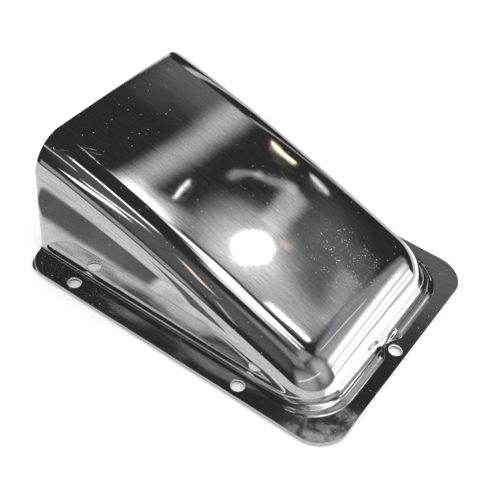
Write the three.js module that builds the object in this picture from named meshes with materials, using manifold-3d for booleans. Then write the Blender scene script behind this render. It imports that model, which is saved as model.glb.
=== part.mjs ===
// Cowl vent for a boat: one deep-drawn hood of polished stainless sheet with a flat
// three-sided flange, and the thin U-shaped seal that the flange is screwed down on.
// Millimetres, +Z up. The mouth opens towards -X and the nose falls towards +X.
import * as THREE from 'three';
import { mergeVertices } from 'three/addons/utils/BufferGeometryUtils.js';
import Module from 'manifold-3d';

// Driving dimensions.
const FLANGE_LENGTH = 140; // rear end of the side flanges to the front edge
const FLANGE_WIDTH = 111.8;
const FLANGE_MARGIN = 10.4; // flange edge to the foot of the hood's wall
const SHEET = 1.0;
const SEAL_THICKNESS = 1.0;
const HOOD_HEIGHT = 51.0; // top of the mouth above the flange's top face
const NOSE_HEIGHT = 11.6; // where the roof's line would meet the front wall
const SLOPE_AT_MOUTH = 0.19;
const SLOPE_AT_NOSE = 0.36;
const CROWN_AT_MOUTH = 0.5;
const CROWN_AT_NOSE = 2.2;
const SHOULDER_AT_MOUTH = 13.8;
const SHOULDER_AT_NOSE = 12;
const HOOD_CORNER = 15; // plan radius of the hood's front corners
const FRONT_DRAFT = 0.13; // lean of the front wall, as a slope
const MOUTH_OVERHANG = 2.2; // how far the top of the mouth leans out past its foot
const OVERHANG_FADE = 40; // length over which that lean dies away
const FOOT_HEIGHT = 3.6; // where the wall starts to turn out, above the flange's top
const LEDGE_HEIGHT = 1.3; // low drawn step round the nose, above the flange's top
const FILLET_REACH = 2.2; // how far the foot's curve reaches out from the wall
const STEP_REACH_AT_NOSE = 2.8; // how far out the step falls to the flange
const STEP_REACH_AT_MOUTH = 0.6;
const LEDGE_START = 103; // along the side flanges, where the step begins to rise
const LEDGE_FULL = 124; // where it has its full height
const NOTCH_HALF = 2.2; // half width of the gap in the step behind the nose's screw hole
const NOTCH_FADE = 4.5; // length over which the step rises again beside that gap
const NOTCH_FILLET_REACH = 1.3;
const FLANGE_CORNER = 13; // plan radius of the flange's front corners
const HOLE_DIAMETER = 5.2;
const HOLE_INSET = 4.6; // hole centre to the flange's edge
const SIDE_HOLES = [22, 98.5]; // from the rear end of the flange
const REAR_CORNER_GAP = 0.2; // keeps the rear rounding clear of the wall's face
const SEAL_INSET = 1.2; // the seal's edge inside the flange's edge
const SEAL_HOLE_CLEARANCE = 0.5; // the seal's holes are larger by this on each side
const SEAL_INNER_GAP = 0.6; // the seal's inner edge outside the line of the wall

// Derived levels and places.
const FLANGE_BOTTOM = SEAL_THICKNESS;
const FLANGE_TOP = FLANGE_BOTTOM + SHEET;
const FOOT_Z = FLANGE_TOP + FOOT_HEIGHT;
const HALF_HOOD = FLANGE_WIDTH / 2 - FLANGE_MARGIN;
const NOSE_X = FLANGE_LENGTH - FLANGE_MARGIN;
const TURN_X = NOSE_X - HALF_HOOD; // sections are upright behind here and fan out ahead

// Mesh density.
const STATIONS = 13;
const FAN_STEPS = 10;
const WALL_STEPS = 3;
const SHOULDER_STEPS = 6;
const ROOF_STEPS = 4; // on each half of the roof
const FILLET_STEPS = 4;
const STEP_STEPS = 4;
const HOLE_SIDES = 32;
const ARC_STEPS = 16;
const BISECTIONS = 30;
const CUT_MARGIN = 2; // how far a cutter reaches past what it cuts

const clamp01 = (value) => Math.min(1, Math.max(0, value));
const smooth = (value) => clamp01(value) ** 2 * (3 - 2 * clamp01(value));
const mix = (a, b, t) => a + (b - a) * t;

// Height of the roof's centre line: a cubic with a given height and slope at each end.
function roofHeight(x) {
  const t = x / NOSE_X;
  const rise = 2 * t ** 3 - 3 * t ** 2 + 1;
  const startSlope = t ** 3 - 2 * t ** 2 + t;
  const endSlope = t ** 3 - t ** 2;
  return FLANGE_TOP + rise * HOOD_HEIGHT + (1 - rise) * NOSE_HEIGHT
    - NOSE_X * (startSlope * SLOPE_AT_MOUTH + endSlope * SLOPE_AT_NOSE);
}

// Distance to two faces that meet in an edge of the given radius, negative inside.
function roundedEdge(a, b, radius) {
  const outer = Math.hypot(Math.max(a + radius, 0), Math.max(b + radius, 0));
  return Math.min(Math.max(a, b), -radius) + outer;
}

// Distance to the hood's outer skin, negative inside.
function hoodDistance(p) {
  const t = clamp01(p.x / NOSE_X);
  const side = Math.abs(p.y) - HALF_HOOD;
  const front = p.x - NOSE_X + FRONT_DRAFT * (p.z - FLANGE_TOP);
  const crown = mix(CROWN_AT_MOUTH, CROWN_AT_NOSE, t) * (p.y / HALF_HOOD) ** 2;
  const slope = roofHeight(p.x + 0.5) - roofHeight(p.x - 0.5);
  const roof = (p.z - roofHeight(p.x) + crown) / Math.hypot(1, slope);
  const walls = roundedEdge(side, front, HOOD_CORNER);
  return roundedEdge(walls, roof, mix(SHOULDER_AT_MOUTH, SHOULDER_AT_NOSE, t));
}

// Distance to the flange's plan outline while its corners are still square.
function flangeDistance(p) {
  return Math.max(Math.abs(p.y) - FLANGE_WIDTH / 2, p.x - FLANGE_LENGTH);
}

// The point where a ray from inside leaves the given shape.
function rayExit(origin, direction, distance) {
  let near = 0;
  let far = FLANGE_LENGTH;
  const at = (length) => origin.clone().addScaledVector(direction, length);
  for (let i = 0; i < BISECTIONS; i += 1) {
    const middle = (near + far) / 2;
    if (distance(at(middle)) < 0) near = middle;
    else far = middle;
  }
  return at(near);
}

// Unit direction in which the distance grows fastest.
function gradient(p, distance) {
  const h = 0.01;
  const along = (x, y, z) => {
    const step = new THREE.Vector3(x, y, z);
    return distance(p.clone().add(step)) - distance(p.clone().sub(step));
  };
  return new THREE.Vector3(along(h, 0, 0), along(0, h, 0), along(0, 0, h)).normalize();
}

// Directions, as [y, z], from the middle of a section's foot to points spread along an arch
// of the given height and corner radius, so that the corners get most of the points.
function archDirections(height, radius) {
  const half = [];
  for (let i = 0; i < WALL_STEPS; i += 1) {
    half.push([-HALF_HOOD, ((height - radius) * i) / WALL_STEPS]);
  }
  for (let i = 0; i <= SHOULDER_STEPS; i += 1) {
    const angle = (Math.PI / 2) * (i / SHOULDER_STEPS);
    half.push([
      -HALF_HOOD + radius * (1 - Math.cos(angle)),
      height - radius * (1 - Math.sin(angle)),
    ]);
  }
  for (let i = 1; i < ROOF_STEPS; i += 1) {
    half.push([-(HALF_HOOD - radius) * (1 - i / ROOF_STEPS), height]);
  }
  const mirrored = half.map(([y, z]) => [-y, z]).reverse();
  return [...half, [0, height], ...mirrored].map(([y, z]) => {
    const length = Math.hypot(y, z);
    return [y / length, z / length];
  });
}

// A growing sheet: points with the skin's outward normals, and faces between them.
function newSheet() {
  const sheet = { points: [], normals: [], faces: [] };
  sheet.add = (point, normal) => {
    sheet.points.push(point);
    sheet.normals.push(normal);
    return sheet.points.length - 1;
  };
  sheet.quad = (a, b, c, d) => {
    if (a !== b) sheet.faces.push([a, b, c]);
    if (c !== d) sheet.faces.push([a, c, d]);
  };
  return sheet;
}

// The dome above the foot: upright sections, then sections that fan out round the nose.
// Returns the foot's vertices in order, from the left rear round the nose to the right rear.
function addDome(sheet) {
  const rows = [];
  // One section, in the plane through its origin and the direction given as up.
  const addRow = (x, up, radius, ends) => {
    const origin = new THREE.Vector3(x, 0, FOOT_Z);
    const crest = rayExit(origin, up, hoodDistance);
    const arch = archDirections(crest.distanceTo(origin), radius);
    rows.push(arch.map(([y, z], j) => {
      if (ends && (j === 0 || j === arch.length - 1)) return ends[j];
      const direction = up.clone().multiplyScalar(z).setY(y);
      const point = rayExit(origin, direction, hoodDistance);
      return sheet.add(point, gradient(point, hoodDistance));
    }));
  };
  for (let i = 0; i < STATIONS; i += 1) {
    const x = (TURN_X * i) / (STATIONS - 1);
    const lean = (MOUTH_OVERHANG / HOOD_HEIGHT) * clamp01(1 - x / OVERHANG_FADE);
    const radius = mix(SHOULDER_AT_MOUTH, SHOULDER_AT_NOSE, x / NOSE_X);
    addRow(x, new THREE.Vector3(-lean, 0, 1).normalize(), radius, null);
  }
  const turn = rows[rows.length - 1];
  const last = turn.length - 1;
  for (let i = 1; i <= FAN_STEPS; i += 1) {
    const angle = (Math.PI / 2) * (i / FAN_STEPS);
    const up = new THREE.Vector3(Math.sin(angle), 0, Math.cos(angle));
    addRow(TURN_X, up, mix(SHOULDER_AT_NOSE, HOOD_CORNER, smooth(i / FAN_STEPS)), turn);
  }
  for (let i = 0; i + 1 < rows.length; i += 1) {
    for (let j = 0; j < last; j += 1) {
      sheet.quad(rows[i][j], rows[i + 1][j], rows[i + 1][j + 1], rows[i][j + 1]);
    }
  }
  const stations = rows.slice(0, STATIONS);
  const left = stations.map((row) => row[0]);
  const right = stations.map((row) => row[last]).reverse();
  return [...left, ...rows[rows.length - 1].slice(1, last), ...right];
}

// Points and normals from one foot vertex out to the flange's edge: the curve at the foot,
// the step, which grows towards the nose, and the flat of the flange.
function footProfile(point, normal) {
  const outward = new THREE.Vector3(normal.x, normal.y, 0);
  const flare = normal.z / outward.length();
  outward.normalize();
  const beside = smooth((Math.abs(point.y) - NOTCH_HALF) / NOTCH_FADE);
  const nose = beside * smooth((point.x - LEDGE_START) / (LEDGE_FULL - LEDGE_START));
  const filletReach = mix(NOTCH_FILLET_REACH, FILLET_REACH, beside);
  const ledge = LEDGE_HEIGHT * nose;
  const place = (reach, height) => {
    const spot = point.clone().addScaledVector(outward, reach);
    return spot.setZ(FLANGE_TOP + height);
  };
  const face = (run, rise) => outward.clone().multiplyScalar(-rise).setZ(run).normalize();
  const profile = [];
  // A quadratic curve, tangent to the wall at its start and level at its end.
  const knee = flare * (FOOT_HEIGHT - ledge);
  for (let i = 1; i <= FILLET_STEPS; i += 1) {
    const t = i / FILLET_STEPS;
    const reach = 2 * t * (1 - t) * knee + t ** 2 * (filletReach + knee);
    const height = ledge + (1 - t) ** 2 * (FOOT_HEIGHT - ledge);
    const run = (1 - t) * knee + t * filletReach;
    profile.push([place(reach, height), face(run, -(1 - t) * (FOOT_HEIGHT - ledge))]);
  }
  // Half a wave, level at both ends.
  const stepReach = mix(STEP_REACH_AT_MOUTH, STEP_REACH_AT_NOSE, nose);
  for (let i = 1; i <= STEP_STEPS; i += 1) {
    const t = i / STEP_STEPS;
    const height = (ledge * (1 + Math.cos(Math.PI * t))) / 2;
    const fall = i < STEP_STEPS ? (ledge * Math.PI * Math.sin(Math.PI * t)) / 2 : 0;
    profile.push([place(filletReach + knee + stepReach * t, height), face(stepReach, -fall)]);
  }
  const inside = profile[profile.length - 1][0];
  profile.push([rayExit(inside, outward, flangeDistance), new THREE.Vector3(0, 0, 1)]);
  return profile;
}

function addFlange(sheet, foot) {
  const rows = foot.map((vertex) => {
    const profile = footProfile(sheet.points[vertex], sheet.normals[vertex]);
    return [vertex, ...profile.map(([point, normal]) => sheet.add(point, normal))];
  });
  for (let i = 0; i + 1 < rows.length; i += 1) {
    for (let j = 0; j + 1 < rows[i].length; j += 1) {
      sheet.quad(rows[i][j], rows[i][j + 1], rows[i + 1][j + 1], rows[i + 1][j]);
    }
  }
}

// Closes a sheet into a solid of even thickness: a second skin inside it, and a rim.
function thicken(sheet, thickness) {
  const count = sheet.points.length;
  const inner = sheet.points.map((point, i) => (
    point.clone().addScaledVector(sheet.normals[i], -thickness)
  ));
  const triangles = [];
  const edges = new Map();
  for (const [a, b, c] of sheet.faces) {
    triangles.push([a, b, c], [a + count, c + count, b + count]);
    for (const [from, to] of [[a, b], [b, c], [c, a]]) {
      if (!edges.delete(`${to},${from}`)) edges.set(`${from},${to}`, [from, to]);
    }
  }
  for (const [from, to] of edges.values()) {
    triangles.push([from, from + count, to + count], [from, to + count, to]);
  }
  const geometry = new THREE.BufferGeometry();
  const coordinates = [...sheet.points, ...inner].flatMap((point) => point.toArray());
  geometry.setAttribute('position', new THREE.Float32BufferAttribute(coordinates, 3));
  geometry.setIndex(triangles.flat());
  return geometry;
}

const wasm = await Module();
wasm.setup();

function toSolid(source) {
  const geometry = source.clone();
  geometry.deleteAttribute('normal');
  geometry.deleteAttribute('uv');
  const merged = mergeVertices(geometry, 1e-5);
  return new wasm.Manifold(new wasm.Mesh({
    numProp: 3,
    vertProperties: new Float32Array(merged.attributes.position.array),
    triVerts: new Uint32Array(merged.index.array),
  }));
}

function toGeometry(solid) {
  const mesh = solid.getMesh();
  const geometry = new THREE.BufferGeometry();
  geometry.setAttribute('position', new THREE.BufferAttribute(mesh.vertProperties, 3));
  geometry.setIndex(new THREE.BufferAttribute(mesh.triVerts, 1));
  return geometry;
}

// Centres of the five screw holes: two in each side flange and one at the nose.
function holeCentres() {
  const sideY = FLANGE_WIDTH / 2 - HOLE_INSET;
  const sides = SIDE_HOLES.flatMap((x) => [[x, -sideY], [x, sideY]]);
  return [...sides, [FLANGE_LENGTH - HOLE_INSET, 0]];
}

// An upright cutter for one screw hole, longer than the sheet is thick.
function holeCutter([x, y], radius) {
  const length = 4 * (SHEET + SEAL_THICKNESS);
  const cylinder = new THREE.CylinderGeometry(radius, radius, length, HOLE_SIDES);
  cylinder.rotateX(Math.PI / 2);
  cylinder.translate(x, y, FLANGE_BOTTOM);
  return cylinder;
}

// The waste outside a quarter circle, in the quadrant that the signs give.
function cornerCutter(x, y, radius, alongX, alongY) {
  const outside = radius + CUT_MARGIN;
  const start = alongX > 0 ? 0 : Math.PI;
  const sweep = (alongX * alongY * Math.PI) / 2;
  const shape = new THREE.Shape();
  shape.moveTo(x + alongX * outside, y);
  shape.lineTo(x + alongX * radius, y);
  shape.absarc(x, y, radius, start, start + sweep, sweep < 0);
  shape.lineTo(x, y + alongY * outside);
  shape.lineTo(x + alongX * outside, y + alongY * outside);
  shape.closePath();
  const depth = FOOT_HEIGHT + SHEET;
  const geometry = new THREE.ExtrudeGeometry(shape, {
    depth, bevelEnabled: false, curveSegments: ARC_STEPS,
  });
  return geometry.translate(0, 0, FLANGE_BOTTOM - SHEET / 2);
}

// Rounds the flange's front corners, and its rear ends from the wall's foot to the edge.
function cornerCutters() {
  const rearRadius = FLANGE_MARGIN - REAR_CORNER_GAP;
  const frontX = FLANGE_LENGTH - FLANGE_CORNER;
  const frontY = FLANGE_WIDTH / 2 - FLANGE_CORNER;
  return [-1, 1].flatMap((side) => [
    cornerCutter(rearRadius, side * (HALF_HOOD + REAR_CORNER_GAP), rearRadius, -1, side),
    cornerCutter(frontX, side * frontY, FLANGE_CORNER, 1, side),
  ]);
}

function hoodGeometry() {
  const sheet = newSheet();
  addFlange(sheet, addDome(sheet));
  let solid = toSolid(thicken(sheet, SHEET));
  for (const centre of holeCentres()) {
    solid = solid.subtract(toSolid(holeCutter(centre, HOLE_DIAMETER / 2)));
  }
  for (const cutter of cornerCutters()) solid = solid.subtract(toSolid(cutter));
  return toGeometry(solid);
}

// The seal's outline: a U that follows the flange, with round rear ends.
function sealShape() {
  const outerY = FLANGE_WIDTH / 2 - SEAL_INSET;
  const outerX = FLANGE_LENGTH - SEAL_INSET;
  const corner = FLANGE_CORNER - SEAL_INSET;
  const innerY = HALF_HOOD + SEAL_INNER_GAP;
  const innerX = NOSE_X + SEAL_INNER_GAP;
  const end = (outerY - innerY) / 2;
  const quarter = Math.PI / 2;
  const shape = new THREE.Shape();
  shape.moveTo(end + SEAL_INSET, -outerY);
  shape.absarc(outerX - corner, -outerY + corner, corner, -quarter, 0, false);
  shape.absarc(outerX - corner, outerY - corner, corner, 0, quarter, false);
  shape.absarc(end + SEAL_INSET, outerY - end, end, quarter, 3 * quarter, false);
  shape.absarc(innerX - HOOD_CORNER, innerY - HOOD_CORNER, HOOD_CORNER, quarter, 0, true);
  shape.absarc(innerX - HOOD_CORNER, -innerY + HOOD_CORNER, HOOD_CORNER, 0, -quarter, true);
  shape.absarc(end + SEAL_INSET, -outerY + end, end, quarter, 3 * quarter, false);
  return shape;
}

function sealGeometry() {
  let solid = toSolid(new THREE.ExtrudeGeometry(sealShape(), {
    depth: SEAL_THICKNESS, bevelEnabled: false, curveSegments: ARC_STEPS,
  }));
  for (const centre of holeCentres()) {
    const radius = HOLE_DIAMETER / 2 + SEAL_HOLE_CLEARANCE;
    solid = solid.subtract(toSolid(holeCutter(centre, radius)));
  }
  return toGeometry(solid);
}

function part(name, geometry, finish) {
  const mesh = new THREE.Mesh(geometry, new THREE.MeshStandardMaterial(finish));
  mesh.name = name;
  return mesh;
}

const vent = new THREE.Group();
vent.add(part('hood_pressing', hoodGeometry(), { color: 0xc9cbcc, roughness: 0.12, metalness: 1 }));
vent.add(part('flange_seal', sealGeometry(), { color: 0x1b1b1c, roughness: 0.85, metalness: 0 }));
// The origin is in the middle of the whole length, on the seal's underside.
const box = new THREE.Box3().setFromObject(vent);
vent.position.x = -(box.min.x + box.max.x) / 2;

export default vent;
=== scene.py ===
"""The looks of a pressed stainless cowl vent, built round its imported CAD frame."""

import math

import bpy
import numpy as np
from mathutils import Matrix, Vector
from mathutils.geometry import delaunay_2d_cdt


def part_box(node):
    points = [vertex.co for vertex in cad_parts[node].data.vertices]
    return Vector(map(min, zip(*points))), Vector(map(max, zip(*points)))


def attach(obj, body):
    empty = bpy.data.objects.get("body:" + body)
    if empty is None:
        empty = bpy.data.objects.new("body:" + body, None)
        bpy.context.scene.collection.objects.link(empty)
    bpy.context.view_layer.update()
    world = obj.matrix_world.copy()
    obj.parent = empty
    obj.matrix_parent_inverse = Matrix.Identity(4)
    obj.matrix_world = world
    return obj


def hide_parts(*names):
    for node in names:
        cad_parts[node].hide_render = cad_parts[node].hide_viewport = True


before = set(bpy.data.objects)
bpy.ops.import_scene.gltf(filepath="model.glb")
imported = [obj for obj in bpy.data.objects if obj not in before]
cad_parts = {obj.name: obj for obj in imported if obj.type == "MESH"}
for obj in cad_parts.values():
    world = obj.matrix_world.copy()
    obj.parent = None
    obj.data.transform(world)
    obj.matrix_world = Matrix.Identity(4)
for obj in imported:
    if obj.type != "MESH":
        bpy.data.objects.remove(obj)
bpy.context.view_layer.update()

# ---------------------------------------------------------------- sizes, in millimetres
MM = 0.001
hood_low, hood_high = (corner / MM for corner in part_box("hood_pressing"))

FLANGE_LENGTH = 140.0
FLANGE_WIDTH = hood_high.y - hood_low.y
FLANGE_MARGIN = 10.4
SHEET = 1.0
HOOD_HEIGHT = 51.0
NOSE_HEIGHT = 11.6
SLOPE_AT_MOUTH = 0.19
SLOPE_AT_NOSE = 0.36
CROWN_AT_MOUTH = 0.5
CROWN_AT_NOSE = 2.2
SHOULDER_AT_MOUTH = 13.8
SHOULDER_AT_NOSE = 12.0
HOOD_CORNER = 15.0
FRONT_DRAFT = 0.13
MOUTH_OVERHANG = 2.2
OVERHANG_FADE = 40.0
FOOT_HEIGHT = 3.6
LEDGE_HEIGHT = 1.3
FILLET_REACH = 2.2
STEP_REACH_AT_NOSE = 2.8
STEP_REACH_AT_MOUTH = 0.6
LEDGE_START = 103.0
LEDGE_FULL = 124.0
NOTCH_HALF = 2.2
NOTCH_FADE = 4.5
NOTCH_FILLET_REACH = 1.3
FLANGE_CORNER = 13.0
REAR_CORNER_GAP = 0.2
HOLE_DIAMETER = 5.2
HOLE_INSET = 4.6
SIDE_HOLES = (22.0, 98.5)
EDGE_RADIUS = 0.3  # the polished rounding of every sheared edge
HOLE_REACH = HOLE_DIAMETER / 2 + EDGE_RADIUS

HALF_HOOD = FLANGE_WIDTH / 2 - FLANGE_MARGIN
NOSE_X = FLANGE_LENGTH - FLANGE_MARGIN
TURN_X = NOSE_X - HALF_HOOD
# The shape is built with x from the flange's rear end and z from its top face.
ORIGIN = Vector((hood_high.x - FLANGE_LENGTH, 0.0, hood_low.z + SHEET))

# ---------------------------------------------------------------- mesh density
STATIONS = 56
FAN_STEPS = 40
WALL_STEPS = 12
SHOULDER_STEPS = 18
ROOF_STEPS = 14
FILLET_STEPS = 10
STEP_STEPS = 10
EDGE_STEPS = 4
HOLE_SIDES = 72
ARC_STEPS = 28
BISECTIONS = 34
INSIDE_THE_FACE = 1  # delaunay_2d_cdt's output type: only triangles inside the given face
SAME_POINT = 1e-6  # points nearer than this are joined

# ---------------------------------------------------------------- places of wear
# Each is x from the mouth end, y, and how far it reaches, in millimetres.
SCRATCHED_MOUTH = (9, -36, 15)
SCRATCHED_NOSE = (106, 8, 18)
DUSTY_PATCH = (103, 10, 24)
STAINED_CORNER = (136, -50, 27)

# ---------------------------------------------------------------- camera and room
# Lengths are in millimetres and angles in degrees, and azimuth 0 looks out from the nose.
VIEW_TARGET = Vector((63.5, 7.5, 0.0))
VIEW_DISTANCE = 394.8
VIEW_AZIMUTH = -62.0
VIEW_ELEVATION = 44.9
VIEW_ROLL = 9.1
SENSOR_WIDTH = 36.0
LENS = 70.1
GROUND_HALF = 4.0  # metres
TABLE_TOP_DEPTH = 0.1
ROOM_BRIGHTNESS = 0.028
WHITE_BRIGHTNESS = 1.2
WARM = (1.0, 0.86, 0.62)
COOL = (0.95, 0.98, 1.0)

# The Mix node's sockets share names, so they are taken by index.
COLOUR_SOCKETS = (0, 6, 7)
COLOUR_RESULT = 2
VECTOR_SOCKETS = (0, 4, 5)
VECTOR_RESULT = 1


# ---------------------------------------------------------------- the hood's skin
def mix(a, b, t):
    return a + (b - a) * t


def smooth(t):
    """Eases from 0 to 1 as t goes from 0 to 1."""
    t = np.clip(t, 0, 1)
    return t * t * (3 - 2 * t)


def unit(v):
    return v / np.linalg.norm(v, axis=-1, keepdims=True)


def roof_height(x):
    """Height of the roof's centre line: a cubic with a given height and slope at each end."""
    t = x / NOSE_X
    rise = 2 * t**3 - 3 * t**2 + 1
    start = t**3 - 2 * t**2 + t
    end = t**3 - t**2
    level = rise * HOOD_HEIGHT + (1 - rise) * NOSE_HEIGHT
    return level - NOSE_X * (start * SLOPE_AT_MOUTH + end * SLOPE_AT_NOSE)


def rounded_edge(a, b, radius):
    """Distance to two faces that meet in an edge of the given radius, negative inside."""
    outer = np.hypot(np.maximum(a + radius, 0), np.maximum(b + radius, 0))
    return np.minimum(np.maximum(a, b), -radius) + outer


def hood_distance(p):
    """Distance from points to the hood's outer skin, negative inside."""
    x, y, z = p[..., 0], p[..., 1], p[..., 2]
    t = np.clip(x / NOSE_X, 0, 1)
    side = np.abs(y) - HALF_HOOD
    front = x - NOSE_X + FRONT_DRAFT * z
    crown = mix(CROWN_AT_MOUTH, CROWN_AT_NOSE, t) * (y / HALF_HOOD) ** 2
    slope = roof_height(x + 0.5) - roof_height(x - 0.5)
    roof = (z - roof_height(x) + crown) / np.hypot(1, slope)
    walls = rounded_edge(side, front, HOOD_CORNER)
    return rounded_edge(walls, roof, mix(SHOULDER_AT_MOUTH, SHOULDER_AT_NOSE, t))


def ray_exit(origin, directions):
    """The points where rays from inside leave the hood."""
    near = np.zeros(len(directions))
    far = np.full(len(directions), FLANGE_LENGTH)
    for _ in range(BISECTIONS):
        middle = (near + far) / 2
        inside = hood_distance(origin + directions * middle[:, None]) < 0
        near = np.where(inside, middle, near)
        far = np.where(inside, far, middle)
    return origin + directions * near[:, None]


def gradient(points):
    """Unit directions in which the distance to the hood grows fastest."""
    step = 0.01
    slopes = [
        hood_distance(points + axis) - hood_distance(points - axis)
        for axis in np.eye(3) * step
    ]
    return unit(np.stack(slopes, axis=-1))


def arch_directions(height, radius):
    """Directions, as (y, z), to points spread along an arch with rounded corners."""
    wall = np.linspace(0, height - radius, WALL_STEPS, endpoint=False)
    angle = np.linspace(0, math.pi / 2, SHOULDER_STEPS + 1)
    roof = np.linspace(-(HALF_HOOD - radius), 0, ROOF_STEPS + 1)[1:]
    y = [
        np.full(WALL_STEPS, -HALF_HOOD),
        -HALF_HOOD + radius * (1 - np.cos(angle)),
        roof,
    ]
    z = [wall, height - radius * (1 - np.sin(angle)), np.full(ROOF_STEPS, height)]
    half = np.stack([np.concatenate(y), np.concatenate(z)], axis=-1)
    return unit(np.concatenate([half, half[-2::-1] * (-1, 1)]))


def section(x, up, radius):
    """Points of the skin in the plane through a place on the floor line and an up direction."""
    origin = np.array([x, 0.0, FOOT_HEIGHT])
    crest = ray_exit(origin, up[None])[0]
    arch = arch_directions(np.linalg.norm(crest - origin), radius)
    return ray_exit(origin, arch[:, 1:] * up + arch[:, :1] * (0, 1, 0))


class Skin:
    """One side of a sheet: points with outward normals, and the faces between them."""

    def __init__(self):
        self.points = []
        self.normals = []
        self.faces = []
        self.flat = []

    def add(self, points, normals):
        first = len(self.points)
        self.points.extend(points)
        self.normals.extend(normals)
        return list(range(first, first + len(points)))

    def face(self, corners, flat=False):
        distinct = list(dict.fromkeys(corners))
        if len(distinct) > 2:
            self.faces.append(distinct)
            self.flat.append(flat)


def add_dome(skin):
    """The dome above the foot. Returns the foot's vertices from left rear to right rear."""
    rows = []
    for x in np.linspace(EDGE_RADIUS, TURN_X, STATIONS):
        lean = MOUTH_OVERHANG / HOOD_HEIGHT * np.clip(1 - x / OVERHANG_FADE, 0, 1)
        radius = mix(SHOULDER_AT_MOUTH, SHOULDER_AT_NOSE, x / NOSE_X)
        points = section(x, unit(np.array([-lean, 0.0, 1.0])), radius)
        rows.append(skin.add(points, gradient(points)))
    turn = rows[-1]
    for step in range(1, FAN_STEPS + 1):
        angle = math.pi / 2 * step / FAN_STEPS
        up = np.array([math.sin(angle), 0.0, math.cos(angle)])
        radius = mix(SHOULDER_AT_NOSE, HOOD_CORNER, smooth(step / FAN_STEPS))
        points = section(TURN_X, up, radius)[1:-1]
        rows.append([turn[0], *skin.add(points, gradient(points)), turn[-1]])
    for behind, ahead in zip(rows, rows[1:]):
        for j in range(len(turn) - 1):
            skin.face([behind[j], ahead[j], ahead[j + 1], behind[j + 1]])
    left = [row[0] for row in rows[:STATIONS]]
    right = [row[-1] for row in rows[:STATIONS]]
    return left + rows[-1][1:-1] + right[::-1]


def fillet_curve(ledge, flare, fillet_reach):
    """The curve at the foot: its reach, its height, and its slope as a run and a rise."""
    drop = FOOT_HEIGHT - ledge
    knee = flare * drop
    t = np.linspace(0, 1, FILLET_STEPS + 1)[1:]
    reach = 2 * t * (1 - t) * knee + t**2 * (fillet_reach + knee)
    height = ledge + (1 - t) ** 2 * drop
    run = (1 - t) * knee + t * fillet_reach
    rise = -(1 - t) * drop
    return np.array([reach, height, run, rise])


def step_curve(ledge, start, step_reach):
    """The step down from the ledge, from where the fillet ends, in the same four rows."""
    t = np.linspace(0, 1, STEP_STEPS + 1)[1:]
    reach = start + step_reach * t
    height = ledge * (1 + np.cos(math.pi * t)) / 2
    run = np.full(STEP_STEPS, step_reach)
    rise = -ledge * math.pi * np.sin(math.pi * t) / 2
    return np.array([reach, height, run, rise])


def foot_profile(point, normal):
    """From one foot vertex out over the foot's curve and the step, to the flat flange."""
    outward = unit(np.array([normal[0], normal[1], 0.0]))
    flare = normal[2] / math.hypot(normal[0], normal[1])
    beside = smooth((abs(point[1]) - NOTCH_HALF) / NOTCH_FADE)
    nose = beside * smooth((point[0] - LEDGE_START) / (LEDGE_FULL - LEDGE_START))
    ledge = LEDGE_HEIGHT * nose
    fillet = fillet_curve(ledge, flare, mix(NOTCH_FILLET_REACH, FILLET_REACH, beside))
    step_reach = mix(STEP_REACH_AT_MOUTH, STEP_REACH_AT_NOSE, nose)
    step = step_curve(ledge, fillet[0][-1], step_reach)
    reach, height, run, rise = np.concatenate([fillet, step], axis=1)
    points = point * (1, 1, 0) + reach[:, None] * outward + height[:, None] * (0, 0, 1)
    normals = unit(run[:, None] * np.array([0, 0, 1]) - rise[:, None] * outward)
    return points, normals


def rear_end_x(reach):
    """Where the flange's round rear end lies, at a distance out from the wall."""
    radius = FLANGE_MARGIN - REAR_CORNER_GAP
    across = np.maximum(reach - REAR_CORNER_GAP, 0)
    return radius - np.sqrt((radius - EDGE_RADIUS) ** 2 - across**2)


def add_foot(skin, foot):
    """The curved strip round the foot. Returns its outer edge's vertices."""
    rows = []
    for k, vertex in enumerate(foot):
        points, normals = foot_profile(
            np.array(skin.points[vertex]), np.array(skin.normals[vertex])
        )
        if k in (0, len(foot) - 1):
            points[:, 0] = rear_end_x(np.abs(points[:, 1]) - HALF_HOOD)
        rows.append([vertex, *skin.add(points, normals)])
    for first, second in zip(rows, rows[1:]):
        for j in range(len(first) - 1):
            skin.face([first[j], first[j + 1], second[j + 1], second[j]])
    return [row[-1] for row in rows]


def arc(x, y, radius, start, end):
    """Points, as (x, y), along an arc about a centre."""
    angle = np.linspace(start, end, ARC_STEPS + 1)
    return np.stack([x + radius * np.cos(angle), y + radius * np.sin(angle)], axis=-1)


def flange_outline(start_reach):
    """The flat flange's outer edge in plan, from right rear round the nose to left rear."""
    radius = FLANGE_MARGIN - REAR_CORNER_GAP
    centre_y = HALF_HOOD + REAR_CORNER_GAP
    rear = radius - EDGE_RADIUS
    first = math.asin((start_reach - REAR_CORNER_GAP) / rear)
    corner_x = FLANGE_LENGTH - FLANGE_CORNER
    corner_y = FLANGE_WIDTH / 2 - FLANGE_CORNER
    corner = FLANGE_CORNER - EDGE_RADIUS
    right = [
        arc(radius, centre_y, rear, math.pi - first, math.pi / 2)[1:],
        arc(corner_x, corner_y, corner, math.pi / 2, 0),
    ]
    right = np.concatenate(right)
    return np.concatenate([right, right[::-1] * (1, -1)])


def hole_centres():
    """The five screw holes: two in each side and one at the nose."""
    side_y = FLANGE_WIDTH / 2 - HOLE_INSET
    sides = [(x, side * side_y) for x in SIDE_HOLES for side in (-1, 1)]
    return [*sides, (FLANGE_LENGTH - HOLE_INSET, 0.0)]


def hole_circle():
    """The points of one screw hole in plan, out where its rounded edge starts."""
    ring = np.linspace(0, 2 * math.pi, HOLE_SIDES, endpoint=False)
    return HOLE_REACH * np.stack([np.cos(ring), np.sin(ring)], axis=-1)


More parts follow.
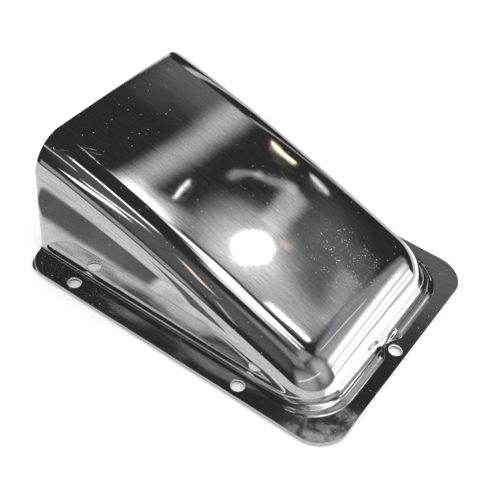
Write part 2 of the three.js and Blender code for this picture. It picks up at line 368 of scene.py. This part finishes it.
def in_a_hole(place):
    """Whether a place in plan is inside one of the holes' circles."""
    gaps = [np.linalg.norm(place - centre) for centre in hole_centres()]
    return min(gaps) < HOLE_REACH * math.cos(math.pi / HOLE_SIDES)


def flange_triangles(plan, border):
    """Triangles, turning left, between a border of the first points and the holes' circles."""
    edges = []
    for first in range(border, len(plan), HOLE_SIDES):
        edges += [(first + i, first + (i + 1) % HOLE_SIDES) for i in range(HOLE_SIDES)]
    corners = [Vector(place) for place in plan]
    made = delaunay_2d_cdt(corners, edges, [list(range(border))], INSIDE_THE_FACE, SAME_POINT)
    triangles = []
    for triangle in made[2]:
        if in_a_hole(plan[triangle].mean(axis=0)):
            continue
        a, b, c = (plan[i] for i in triangle)
        turn = (b[0] - a[0]) * (c[1] - a[1]) - (b[1] - a[1]) * (c[0] - a[0])
        triangles.append(triangle if turn > 0 else triangle[::-1])
    return triangles


def add_flat_flange(skin, inner):
    """The flat of the flange, between the foot's strip, its outline and the screw holes."""
    start_reach = skin.points[inner[-1]][1] - HALF_HOOD
    outline = flange_outline(start_reach)
    plan = [np.array([skin.points[v][:2] for v in inner]), outline]
    plan += [hole_circle() + centre for centre in hole_centres()]
    plan = np.concatenate(plan)
    new = plan[len(inner):]
    level = np.concatenate([new, np.zeros((len(new), 1))], axis=1)
    ids = inner + skin.add(level, np.tile((0.0, 0.0, 1.0), (len(new), 1)))
    for triangle in flange_triangles(plan, len(inner) + len(outline)):
        skin.face([ids[i] for i in triangle], flat=True)


def border_loops(faces):
    """The open edges of a skin, chained into loops, with the skin on their left."""
    edges = {}
    for corners in faces:
        for a, b in zip(corners, corners[1:] + corners[:1]):
            if (b, a) in edges:
                del edges[b, a]
            else:
                edges[a, b] = True
    following = dict(edges.keys())
    loops = []
    while following:
        start, vertex = following.popitem()
        loop = [start]
        while vertex != start:
            loop.append(vertex)
            vertex = following.pop(vertex)
        loops.append(loop)
    return loops


def edge_profile():
    """The rounded section of a sheared edge: (out, down) from the skin's border."""
    angle = np.linspace(0, math.pi / 2, EDGE_STEPS + 1)
    out = EDGE_RADIUS * np.sin(angle)
    down = EDGE_RADIUS * (1 - np.cos(angle))
    top = list(zip(out, down))[1:]
    return top + [(o, SHEET - d) for o, d in reversed(top)]


def thicken(skin):
    """Both faces of the sheet and its rounded edges, as vertices and faces."""
    outer = np.array(skin.points)
    normals = np.array(skin.normals)
    count = len(outer)
    points = [outer, outer - normals * SHEET]
    faces = [list(corners) for corners in skin.faces]
    faces += [[i + count for i in reversed(corners)] for corners in skin.faces]
    flat = skin.flat * 2
    total = 2 * count
    for loop in border_loops(skin.faces):
        place = outer[loop]
        ahead = np.roll(place, -1, axis=0) - place
        behind = place - np.roll(place, 1, axis=0)
        outward = unit(np.cross(unit(ahead) + unit(behind), normals[loop]))
        rings = [loop]
        for out, down in edge_profile():
            points.append(place + outward * out - normals[loop] * down)
            rings.append(list(range(total, total + len(loop))))
            total += len(loop)
        rings.append([i + count for i in loop])
        for upper, lower in zip(rings, rings[1:]):
            for i in range(len(loop)):
                j = (i + 1) % len(loop)
                faces.append([upper[i], lower[i], lower[j], upper[j]])
                flat.append(False)
    return np.concatenate(points), faces, flat


def build_hood():
    """The whole pressing as one smooth mesh that stands for the CAD node."""
    skin = Skin()
    inner = add_foot(skin, add_dome(skin))
    add_flat_flange(skin, inner)
    points, faces, flat = thicken(skin)
    mesh = bpy.data.meshes.new("hood_sheet")
    mesh.from_pydata(((points + np.array(ORIGIN)) * MM).tolist(), [], faces)
    mesh.polygons.foreach_set("use_smooth", [not f for f in flat])
    mesh.update()
    hood = bpy.data.objects.new("hood_sheet", mesh)
    bpy.context.scene.collection.objects.link(hood)
    return hood


# ---------------------------------------------------------------- materials
class Shading:
    """A node tree with short ways to add and join the nodes that the materials use."""

    def __init__(self, owner):
        owner.use_nodes = True
        self.tree = owner.node_tree
        self.nodes = self.tree.nodes

    def link(self, value, socket):
        """Sets a socket to a plain value, or joins another node's socket to it."""
        if isinstance(value, bpy.types.NodeSocket):
            self.tree.links.new(value, socket)
        else:
            socket.default_value = value

    def math(self, operation, *values):
        node = self.nodes.new("ShaderNodeMath")
        node.operation = operation
        for value, socket in zip(values, node.inputs):
            self.link(value, socket)
        return node.outputs[0]

    def vector(self, operation, *values):
        node = self.nodes.new("ShaderNodeVectorMath")
        node.operation = operation
        for value, socket in zip(values, node.inputs):
            self.link(value, socket)
        return node.outputs["Value" if operation == "DOT_PRODUCT" else "Vector"]

    def ramp(self, value, low, high, start=0.0, end=1.0):
        """Smoothly from start to end as the value goes from low to high."""
        node = self.nodes.new("ShaderNodeMapRange")
        node.interpolation_type = "SMOOTHSTEP"
        for entry, socket in zip((value, low, high, start, end), node.inputs):
            self.link(entry, socket)
        return node.outputs["Result"]

    def place(self, scale=(1, 1, 1), turn=0.0, shift=(0, 0, 0)):
        """Positions on the object in millimetres, turned about Z and scaled.

        The shift, in metres, only picks another stretch of a pattern.
        """
        coordinates = self.nodes.new("ShaderNodeTexCoord")
        moved = self.nodes.new("ShaderNodeMapping")
        moved.inputs["Location"].default_value = shift
        moved.inputs["Rotation"].default_value = (0, 0, math.radians(turn))
        self.link(coordinates.outputs["Object"], moved.inputs["Vector"])
        return self.vector("MULTIPLY", moved.outputs["Vector"], [k / MM for k in scale])

    def noise(self, where, scale, detail=2.0, roughness=0.5):
        node = self.nodes.new("ShaderNodeTexNoise")
        self.link(where, node.inputs["Vector"])
        node.inputs["Scale"].default_value = scale
        node.inputs["Detail"].default_value = detail
        node.inputs["Roughness"].default_value = roughness
        return node.outputs["Fac"]

    def specks(self, where, scale, size):
        """1 inside small round specks, scattered one to a cell, and 0 outside."""
        node = self.nodes.new("ShaderNodeTexVoronoi")
        self.link(where, node.inputs["Vector"])
        node.inputs["Scale"].default_value = scale
        return self.ramp(node.outputs["Distance"], size, size * 0.4)

    def bump(self, height, strength, distance, normal=None):
        node = self.nodes.new("ShaderNodeBump")
        self.link(height, node.inputs["Height"])
        node.inputs["Strength"].default_value = strength
        node.inputs["Distance"].default_value = distance * MM
        if normal is not None:
            self.link(normal, node.inputs["Normal"])
        return node.outputs["Normal"]

    def tint(self, factor, low, high):
        """A colour between two, by a factor. The first may be a socket."""
        node = self.nodes.new("ShaderNodeMix")
        node.data_type = "RGBA"
        factor_in, low_in, high_in = (node.inputs[k] for k in COLOUR_SOCKETS)
        self.link(factor, factor_in)
        self.link(low if isinstance(low, bpy.types.NodeSocket) else (*low, 1), low_in)
        self.link((*high, 1), high_in)
        return node.outputs[COLOUR_RESULT]


def new_material(name):
    material = bpy.data.materials.new(name)
    shading = Shading(material)
    return material, shading, shading.nodes["Principled BSDF"]


def around(shading, spot):
    """1 at a place of wear, fading to 0 at its reach."""
    x, y, reach = spot
    centre = (x + ORIGIN.x, y, 0)
    offset = shading.vector("SUBTRACT", shading.place((1, 1, 0)), centre)
    distance = shading.math("SQRT", shading.vector("DOT_PRODUCT", offset, offset))
    return shading.ramp(distance, reach, 0.0)


def upright(shading):
    """1 on the steep sides and nose of the hood, 0 on its roof and flange."""
    coordinates = shading.nodes.new("ShaderNodeTexCoord")
    upward = shading.vector("DOT_PRODUCT", coordinates.outputs["Normal"], (0, 0, 1))
    return shading.ramp(shading.math("ABSOLUTE", upward), 0.88, 0.7)


def brush_lines(shading):
    """Fine polishing lines, 0 to 1: along the roof and flange, and fainter round the sides."""
    above = shading.noise(shading.place((0.06, 1, 0.03)), 2.2, 4.0, 0.85)
    above = shading.ramp(above, 0.3, 0.68)
    beside = shading.noise(shading.place((0.02, 0.02, 1)), 2.6, 4.0, 0.8)
    beside = shading.ramp(beside, 0.3, 0.7, 0.55, 0.9)
    change = shading.math("SUBTRACT", beside, above)
    return shading.math("ADD", above, shading.math("MULTIPLY", change, upright(shading)))


def scratches(shading):
    """A few fine scratches across the brush lines, by the mouth corner and near the nose."""
    spots = [around(shading, spot) for spot in (SCRATCHED_MOUTH, SCRATCHED_NOSE)]
    worn = shading.math("MAXIMUM", *spots)
    lines = 0.0
    for turn, shift in ((14, 0), (-31, 40)):
        where = shading.place((0.022, 1, 0.02), turn, (shift, 0, 0))
        line = shading.ramp(shading.noise(where, 1.5, 0.0), 0.755, 0.785)
        lines = shading.math("MAXIMUM", lines, line)
    level = shading.math("SUBTRACT", 1.0, upright(shading))
    near = shading.math("MULTIPLY", shading.ramp(worn, 0.1, 0.6), level)
    return shading.math("MULTIPLY", lines, near)


def dust(shading):
    """Pale specks of polish and dust, thin on most of the hood and thick in one patch."""
    scattered = shading.specks(shading.place(), 0.42, 0.07)
    flecks = shading.ramp(shading.noise(shading.place(), 1.3, 3.0, 0.7), 0.6, 0.68)
    clumps = shading.ramp(shading.noise(shading.place(), 0.22, 3.0), 0.42, 0.62)
    near = shading.ramp(around(shading, DUSTY_PATCH), 0.1, 0.6)
    thick = shading.math("MULTIPLY", flecks, shading.math("MULTIPLY", near, clumps))
    return shading.math("MAXIMUM", scattered, thick)


def stain(shading):
    """A dull blotchy stain on one corner of the flange."""
    blotches = shading.ramp(shading.noise(shading.place(), 0.16, 4.0, 0.6), 0.3, 0.7)
    near = shading.ramp(around(shading, STAINED_CORNER), 0.1, 0.7)
    return shading.math("MULTIPLY", near, blotches)


def steel_colour(shading, brushed, stained, dusty):
    """Bright steel, darker between the lines and grains, under the stain and the dust."""
    grain = shading.ramp(shading.noise(shading.place(), 1.5, 2.0, 0.7), 0.3, 0.7)
    lines = shading.math("MULTIPLY", brushed, 0.7)
    lined = shading.math("ADD", lines, shading.math("MULTIPLY", grain, 0.3))
    steel = shading.tint(lined, (0.62, 0.63, 0.64), (1.0, 1.0, 1.0))
    steel = shading.tint(stained, steel, (0.8, 0.79, 0.77))
    return shading.tint(dusty, steel, (0.95, 0.95, 0.95))


def steel_roughness(shading, brushed, stained, scratched, dusty):
    """Near-mirror gloss, dulled a little by each kind of wear."""
    smear = shading.ramp(shading.noise(shading.place(), 0.07, 4.0, 0.6), 0.5, 0.75)
    roughness = 0.02
    wears = ((brushed, 0.03), (smear, 0.045), (stained, 0.32), (scratched, 0.07), (dusty, 0.4))
    for wear, amount in wears:
        roughness = shading.math("ADD", roughness, shading.math("MULTIPLY", wear, amount))
    return roughness


def steel_normal(shading, brushed, scratched):
    """The sheet's long faint waves, its brush lines and its scratches, as bumps."""
    waves = shading.noise(shading.place((0.5, 1, 1)), 0.07, 1.0, 0.4)
    normal = shading.bump(waves, 0.15, 0.5)
    normal = shading.bump(brushed, 0.012, 0.03, normal)
    return shading.bump(scratched, 0.2, -0.05, normal)


def polished_steel():
    """Mirror-polished stainless: brush lines and grain, scratches, specks and a stain."""
    material, shading, shader = new_material("polished_steel")
    brushed = brush_lines(shading)
    scratched = scratches(shading)
    dusty = dust(shading)
    stained = stain(shading)
    colour = steel_colour(shading, brushed, stained, dusty)
    dull = shading.math("MAXIMUM", dusty, shading.math("MULTIPLY", stained, 0.2))
    roughness = steel_roughness(shading, brushed, stained, scratched, dusty)
    shading.link(colour, shader.inputs["Base Color"])
    shading.link(shading.math("SUBTRACT", 1.0, dull), shader.inputs["Metallic"])
    shading.link(roughness, shader.inputs["Roughness"])
    shading.link(steel_normal(shading, brushed, scratched), shader.inputs["Normal"])
    return material


def seal_rubber():
    """Matt closed-cell rubber with a fine pebbled skin."""
    material, shading, shader = new_material("seal_rubber")
    cells = shading.noise(shading.place(), 2.2, 4.0, 0.6)
    bloom = shading.noise(shading.place(), 0.12, 2.0)
    colour = shading.tint(bloom, (0.02, 0.02, 0.021), (0.05, 0.05, 0.052))
    shading.link(colour, shader.inputs["Base Color"])
    shading.link(shading.ramp(cells, 0.3, 0.7, 0.65, 0.9), shader.inputs["Roughness"])
    shading.link(shading.bump(cells, 0.5, 0.15), shader.inputs["Normal"])
    return material


def paint(thing, material):
    thing.data.materials.clear()
    thing.data.materials.append(material)


# ---------------------------------------------------------------- camera, light and floor
def towards(azimuth, elevation):
    """Unit vector at an azimuth from +X and an elevation, in degrees."""
    a, e = math.radians(azimuth), math.radians(elevation)
    return Vector((math.cos(e) * math.cos(a), math.cos(e) * math.sin(a), math.sin(e)))


def level_and_rise(direction):
    """Unit vectors across a direction: one level, and one that leans up."""
    level = Vector((0, 0, 1)).cross(direction).normalized()
    return level, direction.cross(level)


def build_camera():
    data = bpy.data.cameras.new("camera")
    data.sensor_width = SENSOR_WIDTH
    data.lens = LENS
    back = towards(VIEW_AZIMUTH, VIEW_ELEVATION)
    roll = math.radians(VIEW_ROLL)
    level, rise = level_and_rise(back)
    right = math.cos(roll) * level + math.sin(roll) * rise
    up = -math.sin(roll) * level + math.cos(roll) * rise
    place = (ORIGIN + VIEW_TARGET + back * VIEW_DISTANCE) * MM
    camera = bpy.data.objects.new("camera", data)
    axes = Matrix((right, up, back)).transposed().to_4x4()
    camera.matrix_world = Matrix.Translation(place) @ axes
    bpy.context.scene.collection.objects.link(camera)
    bpy.context.scene.camera = camera


def build_ground(name, depth):
    """A large level square, at a depth in millimetres under the object's foot."""
    mesh = bpy.data.meshes.new(name)
    corners = [(-1, -1), (1, -1), (1, 1), (-1, 1)]
    points = [(x * GROUND_HALF, y * GROUND_HALF, -depth * MM) for x, y in corners]
    mesh.from_pydata(points, [], [(0, 1, 2, 3)])
    ground = bpy.data.objects.new(name, mesh)
    bpy.context.scene.collection.objects.link(ground)
    return ground


def build_floor():
    """The plain pale floor. The steel mirrors the table top below instead."""
    floor = build_ground("floor", 0)
    material, _, shader = new_material("pale_floor")
    shader.inputs["Base Color"].default_value = (0.9, 0.9, 0.9, 1)
    shader.inputs["Roughness"].default_value = 0.9
    shader.inputs["Specular IOR Level"].default_value = 0.1
    paint(floor, material)
    floor.visible_glossy = False


def strip(shading, where, centre, half, turn=0.0, soft=4.0):
    """1 on a soft-edged strip of the table, by its centre and half size in millimetres."""
    moved = shading.vector("SUBTRACT", where, (*centre, 0))
    angle = math.radians(turn)
    along = (math.cos(angle), math.sin(angle), 0)
    across = (-math.sin(angle), math.cos(angle), 0)
    mask = 1.0
    for axis, reach in zip((along, across), half):
        place = shading.math("ABSOLUTE", shading.vector("DOT_PRODUCT", moved, axis))
        mask = shading.math("MULTIPLY", mask, shading.ramp(place, reach + soft, reach))
    return mask


def table_light(shading):
    """The table top's glow, painted light and shade: mottled, bright ahead of the nose, with two
    dark strips.
    """
    where = shading.place()
    mottle = shading.ramp(shading.noise(where, 0.05, 3.0), 0.35, 0.65, 0.5, 0.68)
    # A painted pool of light on the table ahead of the nose.
    ahead = strip(shading, where, centre=(170, 30), half=(118, 62), soft=14)
    light = shading.math("ADD", mottle, shading.math("MULTIPLY", ahead, 0.8))
    # The two dark strips are painted shade in the glow, mirrored low on the left wall.
    beside = strip(shading, where, centre=(-60, -66), half=(33, 5), turn=2)
    behind = strip(shading, where, centre=(-20, -122), half=(52, 9), turn=66)
    for dark in (beside, behind):
        kept = shading.math("SUBTRACT", 1.0, shading.math("MULTIPLY", dark, 0.8))
        light = shading.math("MULTIPLY", light, kept)
    return light


def build_table_top():
    """A table top that only reflections see, just under the floor. It glows, and its glow is
    painted light.
    """
    top = build_ground("table_top", TABLE_TOP_DEPTH)
    material = bpy.data.materials.new("table_top")
    shading = Shading(material)
    shading.nodes.clear()
    # The emission paints the table's light and shade, as the steel mirrors it.
    glow = shading.nodes.new("ShaderNodeEmission")
    shading.link(table_light(shading), glow.inputs["Strength"])
    output = shading.nodes.new("ShaderNodeOutputMaterial")
    shading.link(glow.outputs[0], output.inputs["Surface"])
    paint(top, material)
    top.visible_camera = False
    top.visible_diffuse = False
    top.visible_shadow = False


class Panel:
    """A soft-edged bright panel of the studio, very far off.

    It is placed by the azimuth and elevation of its middle and has a half size across and
    along, a width of soft edge and a tilt, all in degrees.
    """

    def __init__(self, at, half, light, soft=1.0, tilt=0.0, tint=(1, 1, 1), oval=False):
        self.middle = towards(*at)
        level, rise = level_and_rise(self.middle)
        turn = math.radians(tilt)
        self.across = math.cos(turn) * level + math.sin(turn) * rise
        self.along = self.middle.cross(self.across)
        self.half = [math.tan(math.radians(angle)) for angle in half]
        self.soft = math.tan(math.radians(soft))
        self.oval = oval
        self.colour = [light * channel for channel in tint]


def overhead_panels():
    """Broad highlights on both shoulders and on the crest of the nose."""
    return [
        Panel(at=(54, 67.5), half=(7, 6.5), light=1.5, soft=4),
        Panel(at=(90, 63), half=(3.6, 6), light=1.5, soft=4.5),
        Panel(at=(25, 72), half=(5, 6), light=1.2, soft=4),
        Panel(at=(75, 68), half=(4, 3), light=0.45, soft=3),
        Panel(at=(75, 63), half=(4, 0.3), light=1.3, soft=0.5),
        Panel(at=(110, 65.5), half=(0.5, 2.5), light=1.3, soft=0.6, tilt=30),
        Panel(at=(-98, 68), half=(7, 2), light=1.5, soft=2),
        Panel(at=(0, 74), half=(8, 4), light=0.8, soft=4),
        Panel(at=(0, 60), half=(14, 7), light=0.3, soft=8, tint=COOL),
    ]


def lamp_panels():
    """A round lamp, its glow and one warm glint beside it."""
    return [
        Panel(at=(74, 52.2), half=(1.5, 2.1), light=4, soft=1.2, tilt=20, oval=True),
        Panel(at=(75.5, 53), half=(3.4, 3.8), light=0.65, soft=7, oval=True),
        Panel(at=(73.4, 48.6), half=(0.6, 0.3), light=0.4, soft=0.3, tint=WARM),
    ]


def roof_panels():
    """Bands, thin streaks and glints that the roof mirrors."""
    return [
        Panel(at=(102, 43), half=(6, 3.5), light=0.1, soft=6),
        Panel(at=(94.6, 50), half=(1.5, 9), light=0.42, soft=2.8, tilt=-5),
        Panel(at=(78.3, 46.3), half=(1.1, 3.2), light=0.42, soft=1.3, tilt=21),
        Panel(at=(85.3, 47.3), half=(0.35, 1.9), light=0.28, soft=0.2, tilt=-25),
        Panel(at=(82.4, 44.9), half=(0.5, 2.4), light=0.28, soft=0.25, tilt=-39),
        Panel(at=(80, 40.1), half=(0.15, 1.0), light=2, soft=0.2, tilt=-65),
        Panel(at=(88.6, 54), half=(0.1, 1.1), light=2.8, soft=0.1, tilt=21),
        Panel(at=(85.3, 41.7), half=(1.5, 0.2), light=4, soft=0.2, tilt=12, tint=WARM),
        Panel(at=(67, 53), half=(5, 2.6), light=0.4, soft=4.5),
        Panel(at=(68, 46), half=(7, 6), light=0.1, soft=6),
        Panel(at=(60.5, 53.5), half=(0.4, 2.2), light=2.0, soft=0.4, tilt=-70),
        Panel(at=(65.3, 46.7), half=(0.8, 4.2), light=0.2, soft=1.3, tilt=38),
        Panel(at=(66, 43.5), half=(0.25, 2), light=0.15, soft=0.4, tilt=38),
    ]


def left_panels():
    """Streaks on the left shoulder, and light low on the left wall and its flange."""
    return [
        Panel(at=(-102, 32), half=(1.4, 10), light=1.6, soft=1.2, tilt=-28),
        Panel(at=(-97, 46), half=(0.7, 9), light=1.4, soft=0.8, tilt=-35),
        Panel(at=(-82, 44), half=(1.0, 5), light=0.8, soft=1.0, tint=WARM),
        Panel(at=(-86, 22), half=(0.4, 7), light=0.35, soft=0.5, tilt=-10),
        Panel(at=(-104, 8), half=(10, 5), light=0.3, soft=4, tint=COOL),
        Panel(at=(-88, 42), half=(14, 24), light=0.07, soft=14),
        Panel(at=(-124, 47.3), half=(12, 1.5), light=0.6, soft=0.4, tilt=25),
        Panel(at=(-123.5, 50.4), half=(5, 0.06), light=0.9, soft=0.08, tilt=25),
        Panel(at=(-120, 51.9), half=(3, 0.05), light=0.8, soft=0.08, tilt=27),
        Panel(at=(-45, 52), half=(12, 9), light=0.2, soft=8),
        Panel(at=(-40, 10), half=(24, 20), light=0.2, soft=20),
        Panel(at=(-28, 22), half=(30, 1.2), light=0.5, soft=1.5, tilt=12),
        Panel(at=(-8, 22), half=(50, 24), light=0.13, soft=26),
    ]


def nose_panels():
    """The bright front wall, split by thin dark lines, and the corners beside it."""
    return [
        Panel(at=(40, 2.3), half=(10, 2.7), light=1.15, soft=0.9),
        Panel(at=(40, 8.2), half=(10, 2.7), light=1.15, soft=0.9),
        Panel(at=(42, 17), half=(10, 5.5), light=0.95, soft=8),
        Panel(at=(47, 32), half=(12, 16), light=0.25, soft=7, tint=COOL),
        Panel(at=(47, 37), half=(0.8, 6), light=0.5, soft=1, tilt=30),
        Panel(at=(10, 28), half=(13, 20), light=0.3, soft=20, oval=True),
    ]


def behind_panels():
    """Light that the right shoulder, the mouth's rim and the far side mirror."""
    return [
        Panel(at=(104, 10), half=(1.3, 30), light=0.5, soft=1.5),
        Panel(at=(92, 10), half=(1.0, 30), light=0.3, soft=1.5),
        Panel(at=(126, 32), half=(11, 9), light=0.9, soft=7),
        Panel(at=(180, 30), half=(14, 16), light=0.7, soft=6),
        Panel(at=(-150, 12), half=(10, 14), light=0.5, soft=5),
    ]


def studio_panels():
    """Everything bright that the steel mirrors. Azimuth 0 looks out from the nose."""
    above = overhead_panels() + lamp_panels() + roof_panels()
    return above + left_panels() + nose_panels() + behind_panels()


def oval_mask(shading, places, panel):
    """1 inside a panel's ellipse, from the distances across and along it."""
    squares = [
        shading.math("POWER", shading.math("DIVIDE", place, half), 2.0)
        for place, half in zip(places, panel.half)
    ]
    radius = shading.math("SQRT", shading.math("ADD", *squares))
    soft = panel.soft / sum(panel.half)
    return shading.ramp(radius, 1 + soft, 1 - soft)


def box_mask(shading, places, panel):
    """1 inside a panel's rectangle, from the distances across and along it."""
    across, along = (
        shading.ramp(place, half + panel.soft / 2, half - panel.soft / 2)
        for place, half in zip(places, panel.half)
    )
    return shading.math("MULTIPLY", across, along)


def add_panel(shading, direction, panel, before):
    """Adds one panel to the light that comes from each direction."""
    depth = shading.vector("DOT_PRODUCT", direction, panel.middle)
    places = []
    for axis in (panel.across, panel.along):
        ratio = shading.math("DIVIDE", shading.vector("DOT_PRODUCT", direction, axis), depth)
        places.append(shading.math("ABSOLUTE", ratio))
    mask = oval_mask if panel.oval else box_mask
    inside = mask(shading, places, panel)
    ahead = shading.math("GREATER_THAN", depth, 0.0)
    scaled = shading.nodes.new("ShaderNodeVectorMath")
    scaled.operation = "SCALE"
    scaled.inputs[0].default_value = panel.colour
    shading.link(shading.math("MULTIPLY", ahead, inside), scaled.inputs["Scale"])
    return shading.vector("ADD", before, scaled.outputs["Vector"])


def build_world():
    """A dim room with soft panels for the steel, and plain white for the floor and camera."""
    world = bpy.data.worlds.new("studio")
    shading = Shading(world)
    coordinates = shading.nodes.new("ShaderNodeTexCoord")
    direction = shading.vector("NORMALIZE", coordinates.outputs["Generated"])
    light = (ROOM_BRIGHTNESS,) * 3
    for panel in studio_panels():
        light = add_panel(shading, direction, panel, light)
    path = shading.nodes.new("ShaderNodeLightPath")
    plain = shading.math("MAXIMUM", path.outputs["Is Camera Ray"], path.outputs["Is Diffuse Ray"])
    sight = shading.nodes.new("ShaderNodeMix")
    sight.data_type = "VECTOR"
    for value, socket in zip((plain, light, (WHITE_BRIGHTNESS,) * 3), VECTOR_SOCKETS):
        shading.link(value, sight.inputs[socket])
    background = shading.nodes["Background"]
    shading.link(sight.outputs[VECTOR_RESULT], background.inputs["Color"])
    bpy.context.scene.world = world


def floor_light(name, place, size, power):
    """A soft round light that lights the floor but isn't mirrored in the steel."""
    data = bpy.data.lights.new(name, "AREA")
    data.shape = "DISK"
    data.size = size
    data.energy = power
    light = bpy.data.objects.new(name, data)
    light.location = place
    light.rotation_mode = "QUATERNION"
    light.rotation_quaternion = (-Vector(place)).to_track_quat("-Z", "Y")
    light.visible_glossy = False
    light.visible_camera = False
    bpy.context.scene.collection.objects.link(light)


build_camera()
build_floor()
build_table_top()
build_world()
floor_light("overhead", place=(0.2, 0.5, 2.2), size=2.4, power=20)
hood = build_hood()
paint(hood, polished_steel())
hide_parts("hood_pressing")
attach(hood, "root")
paint(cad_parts["flange_seal"], seal_rubber())
bpy.context.scene.view_settings.view_transform = "Standard"
